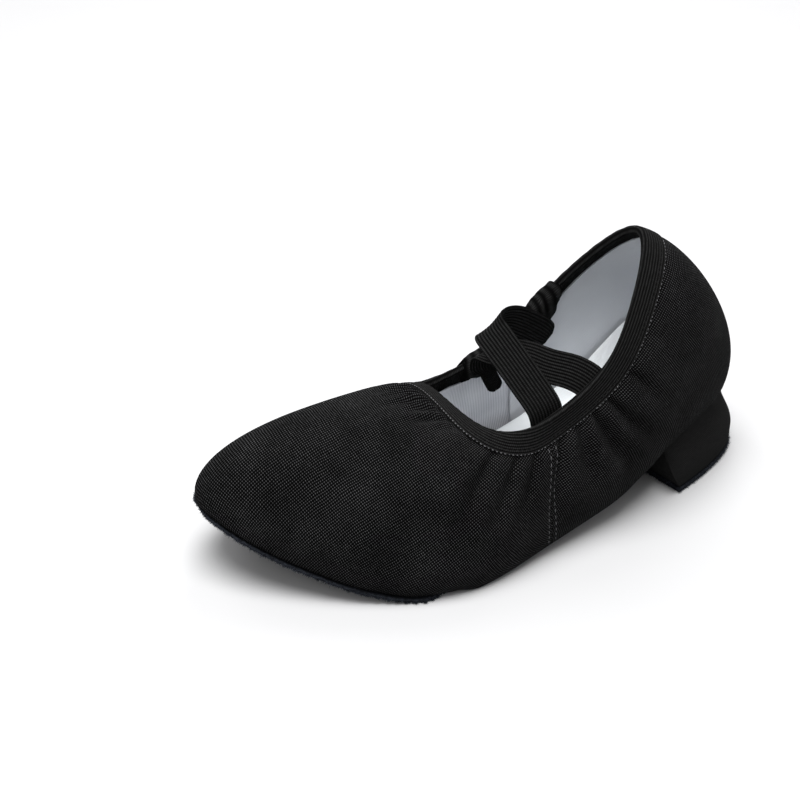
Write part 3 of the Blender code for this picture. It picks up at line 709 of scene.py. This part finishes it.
def lining_panel(name, start, end, columns, look, slot, node, depth_at, folds):
    """A loose lining inside the canvas, with soft folds that stand inwards."""
    share = np.linspace(LINING_FOOT, 1, 40)[None, :]
    angle = start + (end - start) * np.linspace(0, 1, columns)[:, None] + 0 * share
    length = wall_height(angle)
    share = share * (1 - (BINDING_WIDTH + 0.1) / length)
    depth = depth_at(share) + folds(angle, share)
    outer, inner = wall_layer(angle, share, depth), wall_layer(angle, share, depth + LINING)
    return bends(shell(name, outer, inner, look, flattened(outer)), slot, node)


def vamp_folds(angle, share):
    """How far the vamp lining stands in from its usual depth, in mm."""
    soft = np.sin(np.radians(angle * 11.0) + 5 * share) * np.sin(np.radians(angle * 4.3) + 1)
    height = 3.4 * np.maximum(0, soft + 0.2)
    return height * smooth_step(share, 0.2, 0.5) * (1 - smooth_step(share, 0.78, 0.88))


def heel_folds(angle, share):
    """How far the heel lining stands in from its usual depth, in mm."""
    soft = 0.5 * np.sin(np.radians(angle * 5.0) + 2 * share) ** 2
    return soft * smooth_step(share, 0.1, 0.4) * (1 - smooth_step(share, 0.7, 0.85))


def heel_lining_depth(share):
    """The heel lining lies on the counter, and rises to the canvas above it."""
    return HEEL_LINING_DEPTH - HEEL_LINING_RISE * smooth_step(share, 0.76, 0.88)


vamp_lining = lining_panel("lining_vamp", LINING_SEAM[0] - 1, LINING_SEAM[1] + 3, 190, twill_look,
                           "twill", "vamp_lining", lambda h: LINING_DEPTH + 0 * h, vamp_folds)
heel_lining = lining_panel("lining_heel", LINING_SEAM[1] - 360, LINING_SEAM[0] + 3, 160, heel_lining_look,
                           "lining", "heel_lining", heel_lining_depth, heel_folds)


# ---- the elastic binding
BINDING_RIBS, RIB_HEIGHT = 8, 0.32


def make_binding():
    """Folded elastic over the top edge: an outer leaf, a turn over the edge, and an inner leaf.

    Its section is a list of (mm down from the topline, mm in from the canvas face, ribs counted so far).
    """
    f = np.linspace(0, 1, 57)
    rib = RIB_HEIGHT * np.abs(np.sin(np.pi * f * BINDING_RIBS)) ** 0.7
    section = [(10.4 - 9.6 * g, -1.05 - r, g * BINDING_RIBS) for g, r in zip(f, rib)]
    for turn in np.linspace(0.12, 0.88, 9):
        across, over = 1.45 * math.cos(math.pi * turn), 1.25 * math.sin(math.pi * turn)
        section.append((0.8 - over, 0.4 - across, BINDING_RIBS + turn * 2))
    section += [(0.8 + 8.7 * g, 1.75 + r, BINDING_RIBS + 2 + g * BINDING_RIBS) for g, r in zip(f, rib)]
    section += [(9.7, 1.2, 2 * BINDING_RIBS + 2.3), (5, 1.15, 20), (1.6, 1.1, 21), (1.3, -0.35, 22),
                (5, -0.4, 23), (10.5, -0.4, 24)]
    section = np.array(section)
    angle = np.arange(0, 360, 1.0)
    pucker = 0.10 * np.sin(np.radians(angle * 67)) + 0.08 * np.sin(np.radians(angle * 41 + 30))
    columns = []
    for arc, depth, _ in section:
        seen = depth < -0.9 or depth > 1.6
        lift = pucker * (1 if -1.5 < depth - 0.4 < 1.5 else 0.5) * seen
        columns.append(arc_layer(angle, arc, depth + lift if depth > 0 else depth - lift))
    rings = np.stack(columns, 1)
    along = distance_along(arc_layer(angle, 5.0, 0.0))
    uv = np.stack(np.broadcast_arrays(along[:, None], section[None, :, 2]), -1)
    bends(loft("binding", rings, elastic_look, uv, joined=True, sharp=80), "elastic", "topline_binding")


make_binding()


# ---- elastic straps
def along_points(points, count):
    """Places on a smooth curve through a few points (Catmull-Rom), equally many between each two."""
    p = np.array(points, float)
    p = np.concatenate([[2 * p[0] - p[1]], p, [2 * p[-1] - p[-2]]])
    out = []
    for u in np.linspace(0, len(p) - 3 - 1e-9, count):
        i, f = int(u), u - int(u)
        a, b, c, d = p[i:i + 4]
        out.append(0.5 * (2 * b + (c - a) * f + (2 * a - 5 * b + 4 * c - d) * f * f
                          + (3 * b - a - 3 * c + d) * f**3))
    return np.array(out)


def make_strap(name, stations, node, tab_start, tab_width):
    """A flat ribbed elastic along its stations.

    From tab_start on, a share of its length, it narrows to tab_width, a share of its width.
    """
    count = 140
    centre = along_points([p for p, _ in stations], count)
    across = along_points([w for _, w in stations], count)
    forward = np.gradient(centre, axis=0)
    step = np.linalg.norm(forward, axis=1)
    forward /= step[:, None]
    across -= forward * (across * forward).sum(1, keepdims=True)
    across /= np.linalg.norm(across, axis=1, keepdims=True)
    face = np.cross(forward, across)
    w = np.linspace(-1, 1, 6 * STRAP_RIBS + 1)
    rib = 0.36 * np.abs(np.sin(np.pi * (w + 1) / 2 * STRAP_RIBS)) ** 0.7 + STRAP_THICK / 2 - 0.3
    rib[0] = rib[-1] = 0.2
    one_face = np.stack([w, rib, (w + 1) / 2 * STRAP_RIBS], -1)
    corners = np.concatenate([one_face, (one_face * (1, -1, 1))[::-1]])
    share = np.linspace(0, 1, count)
    width = 1 - (1 - tab_width) * smooth_step(share, tab_start, tab_start + 0.06)
    width *= np.sqrt(1 - np.clip((share - 0.975) / 0.025, 0, 0.9) ** 2)
    width = width[:, None, None] * STRAP_WIDTH / 2
    rings = (centre[:, None, :] + across[:, None, :] * corners[None, :, :1] * width
             + face[:, None, :] * corners[None, :, 1:2])
    along = np.concatenate([[0], step[1:].cumsum()])
    uv = np.stack(np.broadcast_arrays(along[:, None], corners[None, :, 2]), -1)
    bends(loft(name, rings, elastic_look, uv, sharp=80), "elastic", node)


make_strap("strap_elastic_over", STRAP_OVER, "strap_over", 0.94, 0.85)
make_strap("strap_elastic_under", STRAP_UNDER, "strap_under", 0.84, 0.5)


def make_anchor(name, angle, half_angle, low_outside, low_inside, lean, node):
    """The crumpled end of a strap, folded over the binding on the inner side and sewn down.

    Its section runs up outside the binding, over it, down inside it and back. It is a list of (mm down from
    the topline, mm in from the canvas face). lean makes the end inside the rim hang lower towards one side.
    """
    section = np.array((
        (low_outside, -2.3), (5.5, -3.0), (3.5, -3.4), (1.8, -3.3), (0.4, -3.1), (-1.2, -2.4), (-2.3, -1.2),
        (-2.7, 0.6), (-2.2, 2.4), (-1.0, 3.8), (0.8, 4.7), (2.6, 5.2), (4.4, 5.3), (6.2, 5.0),
        (low_inside, 4.2), (low_inside + 0.5, 3.6), (low_inside, 3.0), (5, 2.6), (1.2, 2.4), (-0.9, 0.4),
        (1.2, -1.6), (3.5, -1.6), (low_outside, -1.6), (low_outside + 0.4, -1.9),
    ))
    steps = np.arange(len(section))
    outside, last_seen, hanging_end = steps < 8, 14, (steps > 12) & (steps < 17)
    way_out = np.where(outside, -1, 1) * (steps <= last_seen)
    across = np.linspace(-1, 1, 56)
    rings = []
    for w in across:
        edge = (1 - w**6) ** 0.5
        crumple = (0.5 * np.sin(3.7 * w + 0.45 * steps) + 0.28 * np.sin(8.3 * w - 0.3 * steps + 1)) * edge
        depth = section[:, 1] + way_out * (crumple * np.where(outside, 0.45, 1.0) - 0.9 * (1 - edge))
        arc = section[:, 0] + np.where(section[:, 0] > 5.9, 0.8 * math.sin(4 * w + 1), 0)
        arc += np.where(hanging_end, lean * w, 0)
        turn = angle + half_angle * w * (1 + 0.12 * np.sin(0.8 * steps))
        rings.append(arc_layer(turn, arc, depth))
    run = distance_along(section)
    uv = np.stack(np.broadcast_arrays(run[None, :], (across * 2)[:, None]), -1)
    bends(loft(name, rings, elastic_look, uv, sharp=70), "elastic", node)


make_anchor("strap_end_rear", 303.5, 9, 7, 13, -3.5, "strap_anchor_rear")
make_anchor("strap_end_front", 267, 7, 7, 8, 1.0, "strap_anchor_front")


# ---- sock and outsole
def plan_grid(back, front, inset, stations, across, edge=None):
    """Points on the underside between two stations, inset from the feather edge, with rounded ends."""
    f = (1 - np.cos(np.linspace(0, np.pi, stations))) / 2
    s = back + (front - back) * f
    left, right = side_x(s, 1) - inset, side_x(s, -1) + inset
    half = np.maximum((left - right) / 2, 1.0)[:, None]
    w = np.sin(np.linspace(-1, 1, across) * np.pi / 2)[None, :]
    wobble = 1.0 if edge is None else 1 + edge(s[:, None]) * np.abs(w) ** 6 / half
    x = ((left + right) / 2)[:, None] + half * w * wobble
    return x, s[:, None] + 0 * w, w


def make_sock():
    """The padded insole cover. Its edge turns up the walls, highest round the heel."""
    x, s, w = plan_grid(SOCK_BACK, SOCK_TOE, SOCK_INSET, 140, 40)
    base = underside(s) + canvas_lift(s) + SOCK_Z
    end = np.clip(np.minimum(s - SOCK_BACK, SOCK_TOE - s) / 2.0, 0, 1)
    crown = np.sqrt(np.clip(1 - np.abs(w) ** 8, 0, 1)) * np.sqrt(1 - (1 - end) ** 2)
    top = np.stack([x, s, base + SOCK_EDGE + (SOCK_T - SOCK_EDGE) * crown], -1)
    low = np.stack([x, s, base], -1)
    half = (x.max(1, keepdims=True) - x.min(1, keepdims=True)) / 2
    from_edge = np.minimum((1 - np.abs(w)) * half, s - SOCK_BACK)
    curl = (1 - smooth_step(from_edge, 0, CURL_WIDTH)) * np.interp(s, CURL_S, CURL_UP)
    spread = CURL_LEAN * smooth_step(s, 24, 42)
    turned_up = np.stack([np.sign(w) * spread * curl, 0.12 * curl * (s < 12), curl], -1)
    made = shell("insole", top + turned_up, low + turned_up, sock_look, np.stack([x, s], -1))
    return bends(made, "sock", "insole_sock")


insole = make_sock()


def ragged(s):
    """How far the cut edge of the suede strays from its outline."""
    return 0.35 * np.sin(s * 1.9) + 0.25 * np.sin(s * 4.3 + 1) + 0.2 * np.sin(s * 9.7)


# The fibres stay this far above the floor, in mm.
FIBRE_CLEARANCE = 0.02


def fuzz(name, roots, ways, length, radius, body):
    """Short curved fibres that stand out of a cut suede edge."""
    points, faces = [], []
    thirds = (0, 2 * math.pi / 3, 4 * math.pi / 3)
    for root, way in zip(roots, ways):
        way = way + random.normal(0, 0.55, 3)
        way /= np.linalg.norm(way)
        side = np.cross(way, random.normal(0, 1, 3))
        side /= np.linalg.norm(side)
        other = np.cross(way, side)
        reach, r = length * random.uniform(0.4, 1.3), radius * random.uniform(0.6, 1.3)
        droop = random.normal(0, 0.25 * reach, 3)
        base = len(points)
        for k, (f, size) in enumerate(((-0.3, 1.0), (0.55, 0.8))):
            middle = root + way * reach * f + droop * f * f
            points += [middle + r * size * (math.cos(t) * side + math.sin(t) * other) for t in thirds]
        points.append(root + way * reach + droop)
        faces += [(base + 2, base + 1, base)]
        faces += [(base + k, base + (k + 1) % 3, base + 3 + (k + 1) % 3, base + 3 + k) for k in range(3)]
        faces += [(base + 3 + k, base + 3 + (k + 1) % 3, base + 6) for k in range(3)]
    points = np.array(points)
    points[:, 2] = np.maximum(points[:, 2], FIBRE_CLEARANCE)
    rides(make_piece(name, points, faces, fuzz_look), body, "suede")


def make_outsole():
    """The suede patch under the forefoot, narrowing at its back end. Returns its outline."""
    x, s, w = plan_grid(OUTSOLE_BACK, OUTSOLE_TOE, -OUTSOLE_OVERHANG, 110, 44, ragged)
    x -= w * OUTSOLE_TAPER * (1 - smooth_step(s, OUTSOLE_BACK - 2, OUTSOLE_BACK + 12))
    low = underside(s)
    soft = 0.25 * (1 - np.sqrt(np.clip(1 - np.abs(w) ** 10, 0, 1)))
    bottom = np.stack([x, s, low + soft], -1)
    top = np.stack([x, s, low + OUTSOLE - soft], -1)
    made = shell("outsole_suede", bottom, top, suede_look, sharp=70)
    rides(made, "forefoot", "suede", "outsole_forefoot")
    return np.concatenate([np.stack([x[:, -1], s[:, -1]], -1), np.stack([x[::-1, 0], s[::-1, 0]], -1)])


sole_rim = make_outsole()


def rim_roots(rim, count, low_at, high_at):
    """Random places on the edge wall above a plan outline, with the way out of it at each."""
    along = distance_along(rim)
    where = np.sort(random.uniform(0, along[-1], count))
    x, s = np.interp(where, along, rim[:, 0]), np.interp(where, along, rim[:, 1])
    dx = np.interp(where + 1, along, rim[:, 0]) - np.interp(where - 1, along, rim[:, 0])
    ds = np.interp(where + 1, along, rim[:, 1]) - np.interp(where - 1, along, rim[:, 1])
    way = np.stack([ds, -dx, np.zeros(count)], -1)
    way /= np.linalg.norm(way, axis=1, keepdims=True)
    middle = rim.mean(0)
    inward = ((np.stack([x, s], -1) - middle) * way[:, :2]).sum(1) < 0
    way[inward] *= -1
    share = random.uniform(0, 1, count)
    z = low_at(s) + (high_at(s) - low_at(s)) * share
    return np.stack([x, s, z], -1), way


sole_roots, sole_ways = rim_roots(sole_rim, 5200, underside, lambda s: underside(s) + OUTSOLE)
fuzz("outsole_fuzz", sole_roots, sole_ways, 0.9, 0.09, "forefoot")


# ---- the heel
def inset_outline(plan, distance):
    """A closed anticlockwise outline moved inwards by a distance, with mitred corners."""
    ahead = np.roll(plan, -1, 0) - plan
    ahead /= np.linalg.norm(ahead, axis=1, keepdims=True)
    inward = np.stack([-ahead[:, 1], ahead[:, 0]], -1)
    before = np.roll(inward, 1, 0)
    return plan + distance * (inward + before) / (1 + (inward * before).sum(1, keepdims=True))


def heel_ring(height_share, inset):
    """One closed outline of the heel: round the back between the breast corners, then across the breast."""
    side, breast = 75, 31
    corner = HEEL_BREAST_FOOT + (HEEL_BREAST_TOP - HEEL_BREAST_FOOT) * height_share
    angles = np.linspace(0, 90, 361)
    outer = np.interp(corner, feather_s(angles), angles)
    inner = np.interp(corner, feather_s(-angles), angles)
    angle = np.linspace(-inner, outer, side)
    back = np.stack([feather_x(angle), feather_s(angle)], -1)
    across = np.linspace(0, 1, breast + 2)[1:-1, None]
    breast_line = back[-1] + (back[0] - back[-1]) * across
    breast_line[:, 1] += BREAST_BULGE * np.sin(np.pi * across[:, 0])
    plan = np.concatenate([back, breast_line])
    waist = HEEL_WAIST * smooth_step(height_share, 0.25, 0.88)
    waist = waist - SEAT_SPREAD * smooth_step(height_share, 0.88, 1.0) - HEEL_FLARE
    return inset_outline(plan, waist + inset)


def heel_rings(inset, low, levels):
    """Outlines of the heel from its foot at height low up to its seat under the upper."""
    rings = []
    for share in np.linspace(0, 1, levels):
        plan = heel_ring(share, inset)
        seat = underside(plan[:, 1]) - SEAT_GAP
        height = low + (seat - low) * share
        rings.append(np.concatenate([plan, height[:, None]], 1))
    return rings


def make_heel():
    """The canvas cover and the suede top lift. Returns the top lift's outline."""
    low = TOP_LIFT + 0.1
    outer, inner = heel_rings(0, low, 40), heel_rings(HEEL_COVER, low, 40)
    outer[0] = np.concatenate([heel_ring(0.0, 0.35), outer[0][:, 2:]], 1)
    outer[-1] = np.concatenate([heel_ring(1.0, 0.7), outer[-1][:, 2:]], 1)
    rings = outer + inner[::-1]
    around = distance_along(outer[0][:, :2])
    heights = np.array([ring[:, 2].mean() for ring in rings])
    uv = np.stack(np.broadcast_arrays(around[None, :], heights[:, None]), -1)
    cover = loft("heel_canvas", rings, heel_look, uv, joined=True, sharp=70)
    rides(cover, "rearfoot", "canvas", "heel_cover")
    lift_rings = []
    for height, inset in TOP_LIFT_EDGE:
        plan = heel_ring(0.0, inset)
        lift_rings.append(np.concatenate([plan, np.full((len(plan), 1), height)], 1))
    lift = loft("heel_suede", lift_rings, suede_look, sharp=70)
    rides(lift, "rearfoot", "suede", "heel_top_lift")
    rim = heel_ring(0.0, -0.1)
    return np.concatenate([rim, rim[:1]])


heel_rim = make_heel()
heel_roots, heel_ways = rim_roots(heel_rim, 1700, lambda s: 0.2 + 0 * s, lambda s: TOP_LIFT + 0 * s)
fuzz("heel_fuzz", heel_roots, heel_ways, 1.0, 0.085, "rearfoot")


# ---- stitching
# How deep the ends of a stitch dip into the cloth, in mm.
STITCH_SINK = 0.25


def stitches(name, line, normal, pitch, length, radius, look):
    """A row of stitches along a line: short threads that dip into the cloth at both ends."""
    along = distance_along(line)

    def at(where, values):
        return np.array([np.interp(where, along, values[:, k]) for k in range(3)])

    points, faces, sides = [], [], 6
    for start in np.arange(0.3, along[-1] - length, pitch):
        start = start + random.uniform(-0.08, 0.08)
        base = len(points)
        shares = np.linspace(0, 1, 6)
        for f in shares:
            middle, up = at(start + f * length, line), at(start + f * length, normal)
            up /= np.linalg.norm(up)
            way = at(start + f * length + 0.1, line) - at(start + f * length - 0.1, line)
            way /= max(np.linalg.norm(way), 1e-9)
            side = np.cross(way, up)
            size = radius * (0.45 + 0.55 * math.sin(math.pi * (0.12 + 0.76 * f)))
            lift = radius * 0.5 - STITCH_SINK * (2 * f - 1) ** 4
            points += [middle + up * lift + size * (math.cos(t) * side + math.sin(t) * up)
                       for t in np.arange(sides) * 2 * math.pi / sides]
        for k in range(len(shares) - 1):
            a, b = base + k * sides, base + (k + 1) * sides
            faces += [(a + i, a + (i + 1) % sides, b + (i + 1) % sides, b + i) for i in range(sides)]
        faces.append(tuple(base + i for i in range(sides))[::-1])
        faces.append(tuple(base + (len(shares) - 1) * sides + i for i in range(sides)))
    bends(make_piece(name, np.array(points), faces, look), "thread")


def wall_line(angle, arc, depth):
    """A line on the wall with its normals."""
    angle, arc, depth = np.broadcast_arrays(*(np.asarray(v, float) for v in (angle, arc, depth)))
    line = arc_layer(angle, arc, depth)
    return line, read_table(WALL_NORMAL, angle, 1 - np.maximum(arc, 0) / wall_height(angle))


# Rows round the binding: name, mm down from the topline, mm in from the canvas face, pitch, length, radius.
BINDING_ROWS = (
    ("binding_stitches", 10.15, -1.15, 1.7, 1.0, 0.16, pale_thread),
    ("binding_stitches_inner", 8.1, -1.1, 2.1, 1.2, 0.13, dark_thread),
    ("binding_stitches_inside", 9.0, 1.9, 2.3, 1.4, 0.16, dark_thread),
)
for name, arc, depth, pitch, length, radius, look in BINDING_ROWS:
    line, normal = wall_line(np.arange(0, 360.5, 0.5), arc, depth)
    stitches(name, line, normal * (1 if depth < 0 else -1), pitch, length, radius, look)


def seam_row(name, seam, shift):
    """Stitches at a distance beside a side seam, from under the binding down to the sole."""
    share = np.linspace(0.04, 1, 160)
    angle = seam(share)
    length = wall_height(angle)
    arc = np.maximum((1 - share) * length, BINDING_WIDTH + 0.3)
    one_degree = wall_layer(angle + 0.5, share, 0) - wall_layer(angle - 0.5, share, 0)
    angle = angle + shift / np.linalg.norm(one_degree, axis=1)
    keep = (1 - share) * length > BINDING_WIDTH + 0.3
    line, normal = wall_line(angle[keep], arc[keep], -gather(angle[keep], arc[keep]))
    stitches(name, line, normal, 2.9, 1.8, 0.16, grey_thread)


SEAM_ROW = 1.9
for label, seam, forward in (("outer", outer_seam, 1), ("inner", inner_seam, -1)):
    seam_row(f"seam_{label}_row_1", seam, SEAM_ROW * forward)
    seam_row(f"seam_{label}_row_2", seam, -SEAM_ROW * forward)

# ---- floor, light and camera
def make_floor():
    reach = 6
    corners = [(-reach, -reach, 0), (reach, -reach, 0), (reach, reach, 0), (-reach, reach, 0)]
    mesh = bpy.data.meshes.new("floor")
    mesh.from_pydata(corners, [], [(0, 1, 2, 3)])
    mesh.materials.append(rough_material("floor_paper", (0.50, 0.50, 0.505), (0.51, 0.51, 0.515), 3, 0.0))
    made = bpy.data.objects.new("floor", mesh)
    bpy.context.scene.collection.objects.link(made)


def area_light(name, place, target, size, power):
    data = bpy.data.lights.new(name, "AREA")
    data.shape = "DISK"
    data.size, data.energy = size, power
    made = bpy.data.objects.new(name, data)
    made.location = place
    made.rotation_mode = "QUATERNION"
    made.rotation_quaternion = (Vector(target) - Vector(place)).to_track_quat("-Z", "Y")
    bpy.context.scene.collection.objects.link(made)


make_floor()
world = bpy.data.worlds.new("studio")
world.use_nodes = True
world.node_tree.nodes["Background"].inputs["Color"].default_value = (1, 1, 1, 1)
world.node_tree.nodes["Background"].inputs["Strength"].default_value = 0.44
bpy.context.scene.world = world
# Name, place and target in metres, size in metres, power in watts.
area_light("top_light", (0.1, -0.15, 1.15), (0, 0.02, 0.03), 0.9, 21.5)
area_light("back_light", (-0.7, 0.6, 0.9), (0, 0, 0.05), 0.8, 8)
area_light("backdrop_light", (-1.1, -0.3, 0.9), (-1.1, -0.2, 0), 0.7, 4)
area_light("front_light", (0.5, -0.7, 0.8), (0, 0, 0.05), 0.7, 1.5)

CAMERA_PLACE, CAMERA_TARGET = Vector((0.44346, -0.25919, 0.38400)), Vector((-0.08439, -0.00092, 0.00364))
camera_data = bpy.data.cameras.new("camera")
camera_data.sensor_width = 36.0
camera_data.lens = 68.4
camera_data.clip_start = 0.01
camera = bpy.data.objects.new("camera", camera_data)
camera.location = CAMERA_PLACE
camera.rotation_mode = "QUATERNION"
camera.rotation_quaternion = (CAMERA_TARGET - CAMERA_PLACE).to_track_quat("-Z", "Y")
bpy.context.scene.collection.objects.link(camera)
bpy.context.scene.camera = camera
bpy.context.scene.view_settings.view_transform = "Standard"
